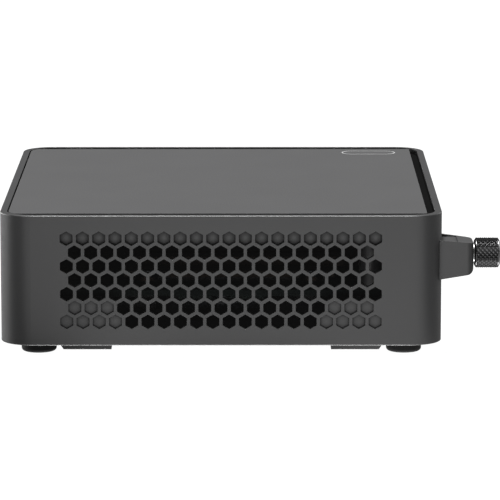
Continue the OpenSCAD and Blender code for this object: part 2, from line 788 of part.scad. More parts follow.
// Plan and side outlines; both narrow towards the tip, whose corners are round
module bracket_plan() polygon(rounded_corners(
  [[bracket_x - bracket_root_w / 2, rear_y - 3, 0], [bracket_x - bracket_tip_w / 2, tip_y, 2.1],
   [bracket_x + bracket_tip_w / 2, tip_y, 2.1], [bracket_x + bracket_root_w / 2, rear_y - 3, 0]]));

module bracket_side() polygon(rounded_corners(
  [[rear_y - 3, bracket_z - bracket_root_h / 2 - 0.5, 0], [tip_y, bracket_z - bracket_tip_h / 2, 1.7],
   [tip_y, bracket_z + bracket_tip_h / 2, 0.5], [rear_y - 3, bracket_z + bracket_root_h / 2 + 0.2, 0]]));

module lock_bracket() color([0.36, 0.36, 0.36]) difference() {
  intersection() {
    linear_extrude(60) bracket_plan();
    translate([bracket_x - 10, 0, 0]) rotate([90, 0, 90]) linear_extrude(20) bracket_side();
  }
  outline_plate(0, 0, case_h);
  translate([bracket_x, rear_y - cut, screw_z]) along_y(shank_r + running_gap, 20);
  block([bracket_x - 4.2, rear_y - cut, bracket_z + 4.2], [bracket_x + 4.6, rear_y + 4, bracket_z + 9]);
}

module bracket_insert() color(brass) translate([bracket_x, rear_y - 6, screw_z]) difference() {
  along_y(2.2, 6);
  translate([0, -cut, 0]) along_y(shank_r + running_gap, 6 + 2 * cut);
}

module screw_washer() color([0.8, 0.8, 0.8]) translate([bracket_x, tip_y, screw_z]) difference() {
  along_y(2.6, washer_t);
  translate([0, -cut, 0]) along_y(shank_r + running_gap, washer_t + 2 * cut);
}

module thumbscrew() color(trim_black) translate([bracket_x, shank_end_y, screw_z])
  rotate([-90, 0, 0]) rotate_extrude() {
    knob_from = tip_y + washer_t - shank_end_y;
    chamfer = 0.5;
    square([shank_r, knob_from + 1]);
    translate([0, knob_from]) polygon([[0, 0], [knob_d / 2 - chamfer, 0], [knob_d / 2, chamfer],
      [knob_d / 2, knob_len - chamfer], [knob_d / 2 - chamfer, knob_len], [0, knob_len]]);
  }

case_shell();
top_panel();
top_carrier();
rear_io_plate();
bottom_cover();
mounting_inserts();
rubber_feet();
cover_latch();
cover_heat_plate();
ssd_thermal_pad();
power_button();
button_light_ring();
power_switch();
motherboard();
board_screws();
processor();
cold_plate();
heat_pipes();
fin_stack();
cooler_screws();
fan_housing();
fan_cover();
fan_bearing();
fan_stator();
fan_rotor();
fan_shaft();
fan_screws();
memory_socket();
memory_module_upper();
memory_module_lower();
ssd_socket();
ssd_card();
wifi_socket();
wifi_card();
card_standoffs();
card_screws();
antennas();
antenna_leads();
coin_cell_holder();
coin_cell();
power_inlet();
rear_usb_sockets();
rear_usb_c_sockets();
network_socket();
display_sockets();
front_usb_sockets();
front_usb_c_socket();
lock_bracket();
bracket_insert();
screw_washer();
thumbscrew();
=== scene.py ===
"""Looks of the small desktop computer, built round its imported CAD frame.

Lengths are in metres and in the frame's own axes: +Z up, +Y to the rear, +X to the right
when facing the front. The pieces built here are drawn in millimetres, and places that the
frame knows are read from it.
"""
import math

import bmesh
import bpy
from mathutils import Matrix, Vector


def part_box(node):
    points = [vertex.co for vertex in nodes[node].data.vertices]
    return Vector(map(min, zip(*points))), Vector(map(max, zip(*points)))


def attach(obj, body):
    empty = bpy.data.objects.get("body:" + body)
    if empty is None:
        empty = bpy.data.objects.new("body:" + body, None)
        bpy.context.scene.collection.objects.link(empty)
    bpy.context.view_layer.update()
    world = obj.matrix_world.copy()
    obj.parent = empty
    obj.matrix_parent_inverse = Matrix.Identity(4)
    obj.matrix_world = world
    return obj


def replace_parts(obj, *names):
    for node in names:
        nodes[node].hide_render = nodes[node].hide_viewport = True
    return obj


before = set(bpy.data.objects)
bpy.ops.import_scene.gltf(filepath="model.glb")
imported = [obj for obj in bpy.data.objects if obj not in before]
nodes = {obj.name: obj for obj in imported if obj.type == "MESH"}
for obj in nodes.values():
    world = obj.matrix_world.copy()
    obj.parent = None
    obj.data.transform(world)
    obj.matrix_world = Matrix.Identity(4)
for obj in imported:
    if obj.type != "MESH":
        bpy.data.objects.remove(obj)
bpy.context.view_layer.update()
MM = 0.001
scene = bpy.context.scene

# ---- Camera: from the right side, a little above ----

LENS_MM, SENSOR_MM = 267.5, 36
ELEVATION = math.radians(10.13)
TURN = math.radians(-0.055)
CAMERA_AT = Vector((979.2, 6.45, 192.8)) * MM


def make_camera():
    data = bpy.data.cameras.new("camera")
    data.lens = LENS_MM
    data.sensor_width = SENSOR_MM
    data.clip_start = 0.05
    data.clip_end = 20
    camera = bpy.data.objects.new("camera", data)
    scene.collection.objects.link(camera)
    camera.location = CAMERA_AT
    camera.rotation_euler = (math.pi / 2 - ELEVATION, 0, math.pi / 2 + TURN)
    scene.camera = camera


# ---- Light and floor ----

# Suns straight above and below the object
OVERHEAD_POWER, UNDERLIGHT_POWER = 11.0, 6.0
SUN_SPREAD = math.radians(14)

# Softboxes that face the object: place, width and height, and power
CARD_AIM = (0, 0, 0.02)
CARDS = {
    "left_card": ((-0.5, -1.35, 0.12), (0.8, 0.5), 15.0),
    "rim_card": ((-1.1, -1.0, 0.1), (0.6, 0.4), 9.0),
    "back_card": ((-1.0, 1.2, 0.35), (0.8, 0.5), 4.0),
}

# The backdrop as the eye sees it, and as it lights the object
WORLD_SEEN, WORLD_LIT = 1.0, 0.05

# The table lies just under the feet, and its light is bright towards one side only
FLOOR_SIZE = 12
FLOOR_LEVEL = -0.02 * MM
FLOOR_DIM, FLOOR_BRIGHT = 0.2, 1.95
GLOW_AZIMUTH = math.radians(8)
GLOW_INNER, GLOW_OUTER = math.radians(24), math.radians(48)
GLOW_START, GLOW_FULL = 50 * MM, 75 * MM


def add_light(name, kind, at, aim, power):
    data = bpy.data.lights.new(name, kind)
    data.energy = power
    light = bpy.data.objects.new(name, data)
    scene.collection.objects.link(light)
    light.location = at
    light.rotation_euler = (Vector(aim) - Vector(at)).to_track_quat("-Z", "Y").to_euler()
    return data


def add_sun(name, height, power):
    """A sun on the vertical axis that shines towards the object."""
    data = add_light(name, "SUN", (0, 0, height), (0, 0, 0), power)
    data.angle = SUN_SPREAD


def soft_card(name, at, size, power):
    """A rectangular softbox that faces the object."""
    data = add_light(name, "AREA", at, CARD_AIM, power)
    data.shape = "RECTANGLE"
    data.size, data.size_y = size


def make_world():
    """A white backdrop for the eye, and a dim even light for the object."""
    world = bpy.data.worlds.new("studio")
    scene.world = world
    world.use_nodes = True
    tree = world.node_tree
    tree.nodes.clear()
    rays = tree.nodes.new("ShaderNodeLightPath")
    mix = tree.nodes.new("ShaderNodeMixShader")
    out = tree.nodes.new("ShaderNodeOutputWorld")
    for strength, place in ((WORLD_LIT, 1), (WORLD_SEEN, 2)):
        part = tree.nodes.new("ShaderNodeBackground")
        part.inputs["Color"].default_value = (1, 1, 1, 1)
        part.inputs["Strength"].default_value = strength
        tree.links.new(part.outputs[0], mix.inputs[place])
    tree.links.new(rays.outputs["Is Camera Ray"], mix.inputs["Fac"])
    tree.links.new(mix.outputs[0], out.inputs["Surface"])


def make_studio():
    """A pale table under a wide overhead light, with weak cards at the left and behind."""
    make_world()
    add_sun("overhead", 1, OVERHEAD_POWER)
    for name, (at, size, power) in CARDS.items():
        soft_card(name, at, size, power)
    add_sun("underlight", -1, UNDERLIGHT_POWER)

    bpy.ops.mesh.primitive_plane_add(size=FLOOR_SIZE, location=(0, 0, FLOOR_LEVEL))
    floor = bpy.context.object
    floor.name = "floor"
    floor.data.materials.append(floor_material())


# ---- Materials ----

# A faint white glow painted into every surface, painted light which keeps the deepest shadows from
# going fully black
PAINTED_GLOW = 0.0035

# The part of a noise's range that its ramps use, and how far the gloss strays from its mean
NOISE_LOW, NOISE_HIGH = 0.3, 0.7
GLOSS_STRAY = 0.05

# The slow change of tone in blotches per metre, and the strength of every grain
BLOTCHES = 60.0
GRAIN_STRENGTH = 0.5

# How near another surface must stand to paint shade onto one, and the rays that find it and that
# round an edge
PAINTED_SHADE_REACH = 1.5 * MM
PAINTED_SHADE_SAMPLES, BEVEL_SAMPLES = 8, 6


def new_material(name):
    made = bpy.data.materials.new(name)
    made.use_nodes = True
    tree = made.node_tree
    tree.nodes.clear()
    shader = tree.nodes.new("ShaderNodeBsdfPrincipled")
    out = tree.nodes.new("ShaderNodeOutputMaterial")
    tree.links.new(shader.outputs[0], out.inputs["Surface"])
    return made, tree, shader


def object_noise(tree, scale, detail, stretch=(1, 1, 1)):
    """A noise in the frame's own coordinates; scale is in cells per metre."""
    place = tree.nodes.new("ShaderNodeTexCoord")
    mapping = tree.nodes.new("ShaderNodeMapping")
    mapping.inputs["Scale"].default_value = stretch
    noise = tree.nodes.new("ShaderNodeTexNoise")
    noise.inputs["Scale"].default_value = scale
    noise.inputs["Detail"].default_value = detail
    tree.links.new(place.outputs["Object"], mapping.inputs["Vector"])
    tree.links.new(mapping.outputs["Vector"], noise.inputs["Vector"])
    return noise


def ramp(tree, source, low, high):
    """Turns a noise into a colour between two."""
    node = tree.nodes.new("ShaderNodeValToRGB")
    node.color_ramp.elements[0].position = NOISE_LOW
    node.color_ramp.elements[1].position = NOISE_HIGH
    node.color_ramp.elements[0].color = (*low, 1)
    node.color_ramp.elements[1].color = (*high, 1)
    tree.links.new(source, node.inputs["Fac"])
    return node.outputs["Color"]


def spread(tree, source, low, high):
    """Turns a noise into a number between two."""
    node = tree.nodes.new("ShaderNodeMapRange")
    node.inputs["From Min"].default_value = NOISE_LOW
    node.inputs["From Max"].default_value = NOISE_HIGH
    node.inputs["To Min"].default_value = low
    node.inputs["To Max"].default_value = high
    tree.links.new(source, node.inputs["Value"])
    return node.outputs["Result"]


def smooth_step(tree, source, start, end, low, high):
    """Rises from low at the start to high at the end."""
    node = tree.nodes.new("ShaderNodeMapRange")
    node.interpolation_type = "SMOOTHSTEP"
    node.inputs["From Min"].default_value = start
    node.inputs["From Max"].default_value = end
    node.inputs["To Min"].default_value = low
    node.inputs["To Max"].default_value = high
    tree.links.new(source, node.inputs["Value"])
    return node.outputs["Result"]


def vector_node(tree, operation, source):
    node = tree.nodes.new("ShaderNodeVectorMath")
    node.operation = operation
    tree.links.new(source, node.inputs[0])
    return node


def math_node(tree, operation, first, second):
    """One step of arithmetic on numbers or on the outputs of other nodes."""
    node = tree.nodes.new("ShaderNodeMath")
    node.operation = operation
    for place, value in enumerate((first, second)):
        if isinstance(value, float):
            node.inputs[place].default_value = value
        else:
            tree.links.new(value, node.inputs[place])
    return node.outputs[0]


def bump(tree, shader, source, depth, edge):
    """Grain from the source, over edges that are softened by the given radius."""
    node = tree.nodes.new("ShaderNodeBump")
    node.inputs["Strength"].default_value = GRAIN_STRENGTH
    node.inputs["Distance"].default_value = depth
    tree.links.new(source, node.inputs["Height"])
    if edge:
        soft = tree.nodes.new("ShaderNodeBevel")
        soft.samples = BEVEL_SAMPLES
        soft.inputs["Radius"].default_value = edge
        tree.links.new(soft.outputs["Normal"], node.inputs["Normal"])
    tree.links.new(node.outputs["Normal"], shader.inputs["Normal"])


def painted_shade_factor(tree, depth):
    """Painted shade: one on open faces, and less where another surface stands near."""
    near = tree.nodes.new("ShaderNodeAmbientOcclusion")
    near.samples = PAINTED_SHADE_SAMPLES
    near.inputs["Distance"].default_value = PAINTED_SHADE_REACH
    return math_node(tree, "POWER", near.outputs["AO"], depth)


def scaled(tree, tone, share):
    node = vector_node(tree, "SCALE", tone)
    tree.links.new(share, node.inputs["Scale"])
    return node.outputs[0]


def tinted(colour, share):
    return tuple(c * share for c in colour)


def surface(name, colour, roughness, grain, depth, metallic=0.0, specular=0.5, vary=0.06,
            stretch=(1, 1, 1), coat=0.0, edge=0.0, painted_shade=0.0):
    """A solid surface with a fine grain, a slow change of tone, uneven gloss and a faint painted
    glow; where asked, painted shade darkens its colour and gloss near other surfaces.
    """
    made, tree, shader = new_material(name)
    shader.inputs["Metallic"].default_value = metallic
    shader.inputs["Specular IOR Level"].default_value = specular
    shader.inputs["Coat Weight"].default_value = coat
    # Every surface glows faintly, which is painted light
    shader.inputs["Emission Color"].default_value = (1, 1, 1, 1)
    shader.inputs["Emission Strength"].default_value = PAINTED_GLOW
    slow = object_noise(tree, BLOTCHES, 4.0)
    fine = object_noise(tree, grain, 3.0, stretch)
    tone = ramp(tree, slow.outputs["Fac"], tinted(colour, 1 - vary), tinted(colour, 1 + vary))
    # Painted shade: the colour and the gloss grow darker where another surface stands near
    if painted_shade:
        share = painted_shade_factor(tree, painted_shade)
        tone = scaled(tree, tone, share)
        tree.links.new(math_node(tree, "MULTIPLY", share, specular),
                       shader.inputs["Specular IOR Level"])
    tree.links.new(tone, shader.inputs["Base Color"])
    gloss = spread(tree, fine.outputs["Fac"], roughness - GLOSS_STRAY, roughness + GLOSS_STRAY)
    tree.links.new(gloss, shader.inputs["Roughness"])
    bump(tree, shader, fine.outputs["Fac"], depth, edge)
    return made


def sector_glow(tree):
    """Light from the table: bright within an angle of one direction and away from the object."""
    place = tree.nodes.new("ShaderNodeTexCoord").outputs["Object"]
    ray = vector_node(tree, "NORMALIZE", place).outputs[0]
    towards = vector_node(tree, "DOT_PRODUCT", ray)
    towards.inputs[1].default_value = (math.cos(GLOW_AZIMUTH), math.sin(GLOW_AZIMUTH), 0)
    glow = smooth_step(tree, towards.outputs["Value"], math.cos(GLOW_OUTER),
                       math.cos(GLOW_INNER), FLOOR_DIM, FLOOR_BRIGHT)
    distance = vector_node(tree, "LENGTH", place).outputs["Value"]
    clear = smooth_step(tree, distance, GLOW_START, GLOW_FULL, 0, 1)
    lift = math_node(tree, "SUBTRACT", glow, FLOOR_DIM)
    lift = math_node(tree, "MULTIPLY", lift, clear)
    return math_node(tree, "ADD", lift, FLOOR_DIM)


def clear_from_below(tree, shader, shadow_ray):
    """Lets the eye and the underlight through the table from below."""
    side = tree.nodes.new("ShaderNodeNewGeometry")
    clear = tree.nodes.new("ShaderNodeBsdfTransparent")
    mix = tree.nodes.new("ShaderNodeMixShader")
    out = next(node for node in tree.nodes if node.type == "OUTPUT_MATERIAL")
    through = math_node(tree, "MAXIMUM", side.outputs["Backfacing"], shadow_ray)
    tree.links.new(through, mix.inputs["Fac"])
    tree.links.new(shader.outputs[0], mix.inputs[1])
    tree.links.new(clear.outputs[0], mix.inputs[2])
    tree.links.new(mix.outputs[0], out.inputs["Surface"])


def floor_material():
    """A table lit from below: white to the eye, uneven as a light on the object."""
    made, tree, shader = new_material("floor")
    noise = object_noise(tree, 3.0, 2.0)
    tone = ramp(tree, noise.outputs["Fac"], (0.03, 0.03, 0.03), (0.04, 0.04, 0.04))
    tree.links.new(tone, shader.inputs["Base Color"])
    shader.inputs["Roughness"].default_value = 0.9
    shader.inputs["Specular IOR Level"].default_value = 0.0
    shader.inputs["Emission Color"].default_value = (1, 1, 1, 1)
    rays = tree.nodes.new("ShaderNodeLightPath")
    seen = rays.outputs["Is Camera Ray"]
    unseen = math_node(tree, "SUBTRACT", 1.0, seen)
    lit = math_node(tree, "MULTIPLY", sector_glow(tree), unseen)
    strength = math_node(tree, "ADD", seen, lit)
    tree.links.new(strength, shader.inputs["Emission Strength"])
    clear_from_below(tree, shader, rays.outputs["Is Shadow Ray"])
    return made


# The case and its bracket share a moulded finish, with painted shade near other surfaces
MOULDED = dict(roughness=0.4, grain=2600, depth=1.2e-5, specular=0.43, vary=0.03,
               edge=0.12 * MM, painted_shade=1.6)


def make_materials():
    """Each look is a name, a colour, a roughness, a grain in cells per metre and its depth."""
    return {
        "case": surface("case_plastic", (0.0242, 0.0242, 0.0246), **MOULDED),
        "bracket": surface("case_plastic", (0.0305, 0.0305, 0.0309), **MOULDED),
        # The panel also gets painted shade near other surfaces
        "panel": surface("panel_plastic", (0.034, 0.034, 0.0345), 0.55, 2600, 1.6e-5,
                         specular=0.25, vary=0.03, edge=0.12 * MM, painted_shade=1.2),
        # Near black with no gloss: painted shade for the groove beside the lid, on the carrier seen
        # in it
        "channel": surface("black_trim", (0.0025, 0.0025, 0.0025), 0.8, 1800, 3e-5, specular=0.0),
        "trim": surface("black_trim", (0.014, 0.014, 0.015), 0.5, 2200, 2e-5, specular=0.3,
                        edge=0.1 * MM),
        "sheet": surface("panel_metal", (0.012, 0.012, 0.013), 0.48, 3000, 2e-5, specular=0.3,
                         edge=0.1 * MM),
        "rubber": surface("foot_rubber", (0.006, 0.006, 0.006), 0.75, 1800, 4e-5, specular=0.15),
        "steel": surface("socket_metal", (0.42, 0.42, 0.43), 0.32, 900, 5e-6, metallic=1.0,
                         stretch=(1, 12, 1), edge=0.08 * MM),
        "zinc": surface("screw_steel", (0.45, 0.45, 0.47), 0.3, 1500, 6e-6, metallic=1.0),
        # Painted shade: the screws here and the aluminium, copper, pad and boards below are
        # darkened far past their own colour, for the dark inside of the case
        "shade_darkened_screw": surface("screw_steel", (0.03, 0.03, 0.032), 0.4, 1500, 6e-6, metallic=1.0),
        "brass": surface("brass_thread", (0.5, 0.34, 0.14), 0.35, 1500, 6e-6, metallic=1.0),
        "shade_darkened_aluminium": surface("aluminium_plate", (0.035, 0.035, 0.037), 0.42, 1200, 6e-6,
                             metallic=1.0, stretch=(14, 1, 1)),
        "copper": surface("copper_metal", (0.016, 0.012, 0.01), 0.5, 1200, 6e-6, metallic=1.0),
        "pad": surface("thermal_pad", (0.03, 0.034, 0.04), 0.8, 900, 5e-5),
        "ring": surface("light_ring", (0.35, 0.4, 0.44), 0.3, 2000, 6e-6, coat=0.3),
        "board": surface("circuit_board", (0.004, 0.014, 0.01), 0.5, 500, 1e-5, specular=0.2),
        "shade_darkened_main_board": surface("circuit_board", (0.003, 0.007, 0.006), 0.6, 500, 1e-5,
                              specular=0.1),
        "chip": surface("chip", (0.012, 0.012, 0.013), 0.5, 3500, 1.2e-5, specular=0.3,
                        edge=0.06 * MM),
        "shield": surface("socket_metal", (0.4, 0.4, 0.41), 0.36, 1400, 6e-6, metallic=1.0),
        "foil": surface("aerial_foil", (0.5, 0.34, 0.13), 0.35, 1500, 6e-6, metallic=1.0),
        "lead": surface("lead_jacket", (0.008, 0.008, 0.008), 0.4, 900, 6e-6),
        "knob": surface("knob_metal", (0.07, 0.07, 0.071), 0.27, 3000, 3e-6, metallic=1.0),
        "washer": surface("screw_steel", (0.16, 0.16, 0.16), 0.4, 1500, 6e-6, metallic=1.0),
        "mark": surface("panel_plastic", (0.2, 0.2, 0.2), 0.6, 2600, 4e-6, specular=0.2),
        "part": surface("chip", (0.13, 0.1, 0.075), 0.5, 2500, 6e-6, specular=0.4),
    }


# The CAD nodes that wear each look
LOOKS = {
    "case": ["case_shell", "bottom_cover"],
    "bracket": ["lock_bracket"],
    "panel": ["top_panel"],
    # The carrier seen in the lid's groove wears near black as painted shade
    "channel": ["top_carrier"],
    "trim": ["cover_latch", "power_button", "fan_housing", "fan_rotor", "memory_socket",
             "ssd_socket", "wifi_socket", "coin_cell_holder", "power_inlet", "power_switch"],
    "sheet": ["rear_io_plate"],
    "rubber": ["rubber_feet"],
    "steel": ["rear_usb_sockets", "rear_usb_c_sockets", "network_socket", "display_sockets",
              "front_usb_sockets", "front_usb_c_socket"],
    # The screws, aluminium, copper, pad and boards inside wear looks darkened as painted shade
    "shade_darkened_screw": ["board_screws", "cooler_screws", "fan_screws", "fan_cover", "card_screws",
                   "card_standoffs"],
    "zinc": ["fan_shaft", "coin_cell"],
    "washer": ["screw_washer"],
    "brass": ["mounting_inserts", "bracket_insert", "fan_bearing"],
    "shade_darkened_aluminium": ["cover_heat_plate", "fin_stack"],
    "copper": ["cold_plate", "heat_pipes", "fan_stator"],
    "pad": ["ssd_thermal_pad"],
    "ring": ["button_light_ring"],
    "shade_darkened_main_board": ["motherboard"],
    "board": ["memory_module_upper", "memory_module_lower", "ssd_card", "wifi_card"],
    "chip": ["processor"],
    "foil": ["antennas"],
    "lead": ["antenna_leads"],
    "knob": ["thumbscrew"],
}


def dress(name, look):
    """Gives a CAD node its material in place of the plain packed one."""
    slots = nodes[name].data.materials
    slots.clear()
    slots.append(look)


# ---- Pieces built here, in millimetres ----

def frame_box(node):
    """The lowest and highest corner of a CAD node, in millimetres."""
    return [tuple(round(c / MM, 3) for c in corner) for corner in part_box(node)]


def middle(node):
    low, high = frame_box(node)
    return [(a + b) / 2 for a, b in zip(low, high)]


def piece(name, mesh_data, body, look):
    """A mesh in millimetres becomes a piece that rides on a CAD body."""
    bmesh.ops.recalc_face_normals(mesh_data, faces=mesh_data.faces)
    bmesh.ops.scale(mesh_data, vec=(MM, MM, MM), verts=mesh_data.verts)
    mesh = bpy.data.meshes.new(name)
    mesh_data.to_mesh(mesh)
    mesh_data.free()
    made = bpy.data.objects.new(name, mesh)
    scene.collection.objects.link(made)
    mesh.materials.append(materials[look])
    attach(made, body)
    return made


def loft(mesh_data, rings, close_ends=True):
    """Skins rings of points that all run the same way round."""
    rows = [[mesh_data.verts.new(p) for p in ring] for ring in rings]
    count = len(rows[0])
    for lower, upper in zip(rows, rows[1:]):
        for i in range(count):
            k = (i + 1) % count
            mesh_data.faces.new((lower[i], lower[k], upper[k], upper[i]))
    if close_ends:
        mesh_data.faces.new(rows[0][::-1])
        mesh_data.faces.new(rows[-1])
    return rows


def soft_block(mesh_data, low, high, edge, grow=0.0):
    """A block whose top and bottom edges are chamfered."""
    low = [c - grow for c in low]
    high = [c + grow for c in high]
    rings = []
    for z, inset in ((low[2], edge), (low[2] + edge, 0), (high[2] - edge, 0), (high[2], edge)):
        x0, x1, y0, y1 = low[0] + inset, high[0] - inset, low[1] + inset, high[1] - inset
        rings.append([(x0, y0, z), (x1, y0, z), (x1, y1, z), (x0, y1, z)])
    loft(mesh_data, rings)


def block_row(mesh_data, count, start, pitch, half, ys, zs, edge, grow=0.0):
    """Equal blocks along X, with the middle of the first one at start."""
    for i in range(count):
        x = start + i * pitch
        soft_block(mesh_data, (x - half, ys[0], zs[0]), (x + half, ys[1], zs[1]), edge, grow)


# ---- Thumbscrew: a threaded shank and a knob with a diamond knurl ----

SCREW_LOW, SCREW_HIGH = frame_box("thumbscrew")
SCREW_X, _, SCREW_Z = middle("thumbscrew")
SHANK_END, KNOB_END = SCREW_LOW[1], SCREW_HIGH[1]
KNOB_START = frame_box("screw_washer")[1][1]
KNOB_R = (SCREW_HIGH[0] - SCREW_LOW[0]) / 2
DIAMONDS, KNURL_ROWS, KNURL_DEPTH = 21, 10, 0.26

# At each end of the knurl a plain band, then a rounded edge that draws in to its end face
BAND_DEPTH, BAND_GAP = 0.12, 0.05
KNOB_CHAMFER, EDGE_STEP = 0.5, 0.1
END_DRAW, SHOULDER_DRAW = 0.81, 0.61
DISH_R, DISH_DEPTH = 2.4, 0.3

# Thread: rings per turn and points per ring, and the shank's plain tip and neck
THREAD_R, THREAD_DEPTH, THREAD_PITCH = 1.5, 0.26, 0.5
THREAD_STEPS, THREAD_SIDES = 4, 24
TIP_R, TIP_LENGTH = 0.9, 0.25
NECK_LENGTH, NECK_SINK = 2.0, 0.2


def ring_points(y, radius, count):
    """A ring round the screw's axis; the radius is a number or depends on the point."""
    points = []
    for i in range(count):
        angle = math.tau * i / count
        reach = radius(i) if callable(radius) else radius
        points.append((SCREW_X + reach * math.sin(angle), y, SCREW_Z + reach * math.cos(angle)))
    return points


def knurl_radius(row):
    """Peaks and crossings of the grooves alternate round a ring and from ring to ring."""
    return lambda i: KNOB_R if (i + row) % 2 else KNOB_R - KNURL_DEPTH


def split_knurl(mesh_data, lower, upper, row):
    """Splits each cell of the knurl along its groove."""
    for i in range(len(lower)):
        k = (i + 1) % len(lower)
        groove = (lower[i], upper[k]) if (i + row) % 2 == 0 else (lower[k], upper[i])
        bmesh.ops.connect_verts(mesh_data, verts=groove)


def build_knob(mesh_data):
    count = 2 * DIAMONDS
    edge = [(0, KNOB_R - END_DRAW), (EDGE_STEP, KNOB_R - SHOULDER_DRAW),
            (KNOB_CHAMFER - EDGE_STEP, KNOB_R - BAND_DEPTH), (KNOB_CHAMFER, KNOB_R - BAND_DEPTH)]
    near = [ring_points(KNOB_START + step, radius, count) for step, radius in edge]
    start = KNOB_START + KNOB_CHAMFER + BAND_GAP
    length = KNOB_END - KNOB_CHAMFER - BAND_GAP - start
    knurl = [ring_points(start + length * row / KNURL_ROWS, knurl_radius(row), count)
             for row in range(KNURL_ROWS + 1)]
    far = [ring_points(KNOB_END - step, radius, count) for step, radius in reversed(edge)]
    dish = [ring_points(KNOB_END, DISH_R, count),
            ring_points(KNOB_END - DISH_DEPTH, DISH_R - DISH_DEPTH, count)]
    made = loft(mesh_data, near + knurl + far + dish)
    rows = made[len(near):len(near) + len(knurl)]
    for row, (lower, upper) in enumerate(zip(rows, rows[1:])):
        split_knurl(mesh_data, lower, upper, row)


def thread_radius(row):
    """One ridge that winds round the shank and grows over its first turn."""
    height = THREAD_DEPTH * min(1.0, (row + 1) / THREAD_STEPS)

    def radius(i):
        phase = (row / THREAD_STEPS - i / THREAD_SIDES) % 1.0
        return THREAD_R - THREAD_DEPTH + height * (1 - abs(2 * phase - 1))
    return radius


def build_shank(mesh_data):
    thread_end = KNOB_START - NECK_LENGTH - THREAD_PITCH
    turns = int((thread_end - SHANK_END) / THREAD_PITCH)
    rings = [ring_points(SHANK_END, TIP_R, THREAD_SIDES)]
    for row in range(turns * THREAD_STEPS):
        y = SHANK_END + TIP_LENGTH + row * THREAD_PITCH / THREAD_STEPS
        rings.append(ring_points(y, thread_radius(row), THREAD_SIDES))
    rings.append(ring_points(KNOB_START - NECK_LENGTH, THREAD_R, THREAD_SIDES))
    rings.append(ring_points(KNOB_START + NECK_SINK, THREAD_R, THREAD_SIDES))
    loft(mesh_data, rings)


def make_thumbscrew():
    mesh_data = bmesh.new()
    build_knob(mesh_data)
    build_shank(mesh_data)
    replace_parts(piece("knurled_thumbscrew", mesh_data, "screw", "knob"),
                "thumbscrew")


# ---- Tongues, contacts and linings inside the sockets ----

REAR_MOUTH = frame_box("rear_usb_sockets")[1][1]
FRONT_MOUTH = frame_box("front_usb_sockets")[0][1]
USB_LOW, USB_HIGH, USB_C_LEVEL, DISPLAY_LEVEL = 20.4, 28.6, 18.5, 20
USB_W, USB_C_W, DISPLAY_W = 13.1, 9, 15.2


def outer_pair(node, width):
    """The middles of the first and last of a row of sockets of one width."""
    low, high = frame_box(node)
    return low[0] + width / 2, high[0] - width / 2


# Where the sockets are: middle x, middle z, mouth y and direction inwards
USB_PLACES = [(middle("rear_usb_sockets")[0], z, REAR_MOUTH, -1) for z in (USB_LOW, USB_HIGH)]
USB_PLACES += [(x, USB_LOW, FRONT_MOUTH, 1) for x in outer_pair("front_usb_sockets", USB_W)]
USB_C_PLACES = [(x, USB_C_LEVEL, REAR_MOUTH, -1) for x in outer_pair("rear_usb_c_sockets", USB_C_W)]
USB_C_PLACES += [(middle("front_usb_c_socket")[0], USB_C_LEVEL, FRONT_MOUTH, 1)]
DISPLAY_PLACES = [(x, DISPLAY_LEVEL, REAR_MOUTH, -1)
                  for x in outer_pair("display_sockets", DISPLAY_W)]

# What is in them: a tongue, rows of contacts and the heights of these rows from the middle
SOCKETS = [
    (USB_PLACES, dict(half=5.6, low=0.5, high=2.0, start=1.0, end=12.5),
     dict(count=4, pitch=2.4, width=1.1, start=1.6, end=9.0), (0.4,)),
    (USB_C_PLACES, dict(half=3.35, low=-0.35, high=0.35, start=0.8, end=7.0),
     dict(count=12, pitch=0.5, width=0.26, start=1.1, end=6.0), (-0.43, 0.37)),
    (DISPLAY_PLACES, dict(half=5.2, low=-0.5, high=0.5, start=1.0, end=9.5),
     dict(count=10, pitch=1.0, width=0.45, start=1.4, end=8.0), (-0.58, 0.52)),
]
CONTACT_T = 0.06

# Network socket: its lining's walls, as lowest and highest corner from the opening's middle
# in x and z, and the path of its wires as y and height above the middle
LINING_BACK = ((-5.85, 43.02, -3.55), (5.85, 43.3, 3.95))
LINING_ROOF = ((-5.88, 43.1, 3.7), (5.88, 54.6, 3.97))
LINING_LEFT = ((-5.88, 43.1, -3.58), (-5.6, 54.6, 3.97))
LINING_RIGHT = ((5.6, 43.1, -3.58), (5.88, 54.6, 3.97))
WIRE_PATH = [(53.2, 3.5), (50.5, 3.3), (46.0, 0.2)]
WIRES, WIRE_PITCH, WIRE_HALF_W, WIRE_HALF_T = 8, 1.02, 0.2, 0.1


def tongue(mesh_data, x, z, mouth, inward, half, low, high, start, end):
    """A plastic tongue that reaches from start to end behind the mouth."""
    ys = sorted((mouth + inward * start, mouth + inward * end))
    soft_block(mesh_data, (x - half, ys[0], z + low), (x + half, ys[1], z + high), edge=0.08,
               grow=0.03)


def contacts(mesh_data, x, z, mouth, inward, count, pitch, width, start, end):
    """A row of thin gold strips at height z."""
    ys = sorted((mouth + inward * start, mouth + inward * end))
    block_row(mesh_data, count, x - (count - 1) / 2 * pitch, pitch, width / 2, ys,
              (z, z + CONTACT_T), edge=0.02)


def make_socket_insides():
    plastic, gold = bmesh.new(), bmesh.new()
    for places, tongue_size, contact_size, heights in SOCKETS:
        for x, z, mouth, inward in places:
            tongue(plastic, x, z, mouth, inward, **tongue_size)
            for height in heights:
                contacts(gold, x, z + height, mouth, inward, **contact_size)
    piece("socket_tongues", plastic, "case", "chip")
    x, _, z = middle("network_socket")
    line_network_socket(x, z)
    network_wires(gold, x, z)
    piece("socket_contacts", gold, "case", "foil")


def line_network_socket(x, z):
    """Black walls at the back, above and at both sides of the opening."""
    lining = bmesh.new()
    for low, high in (LINING_BACK, LINING_ROOF, LINING_LEFT, LINING_RIGHT):
        soft_block(lining, (x + low[0], low[1], z + low[2]),
                   (x + high[0], high[1], z + high[2]), edge=0.05)
    piece("network_lining", lining, "case", "chip")


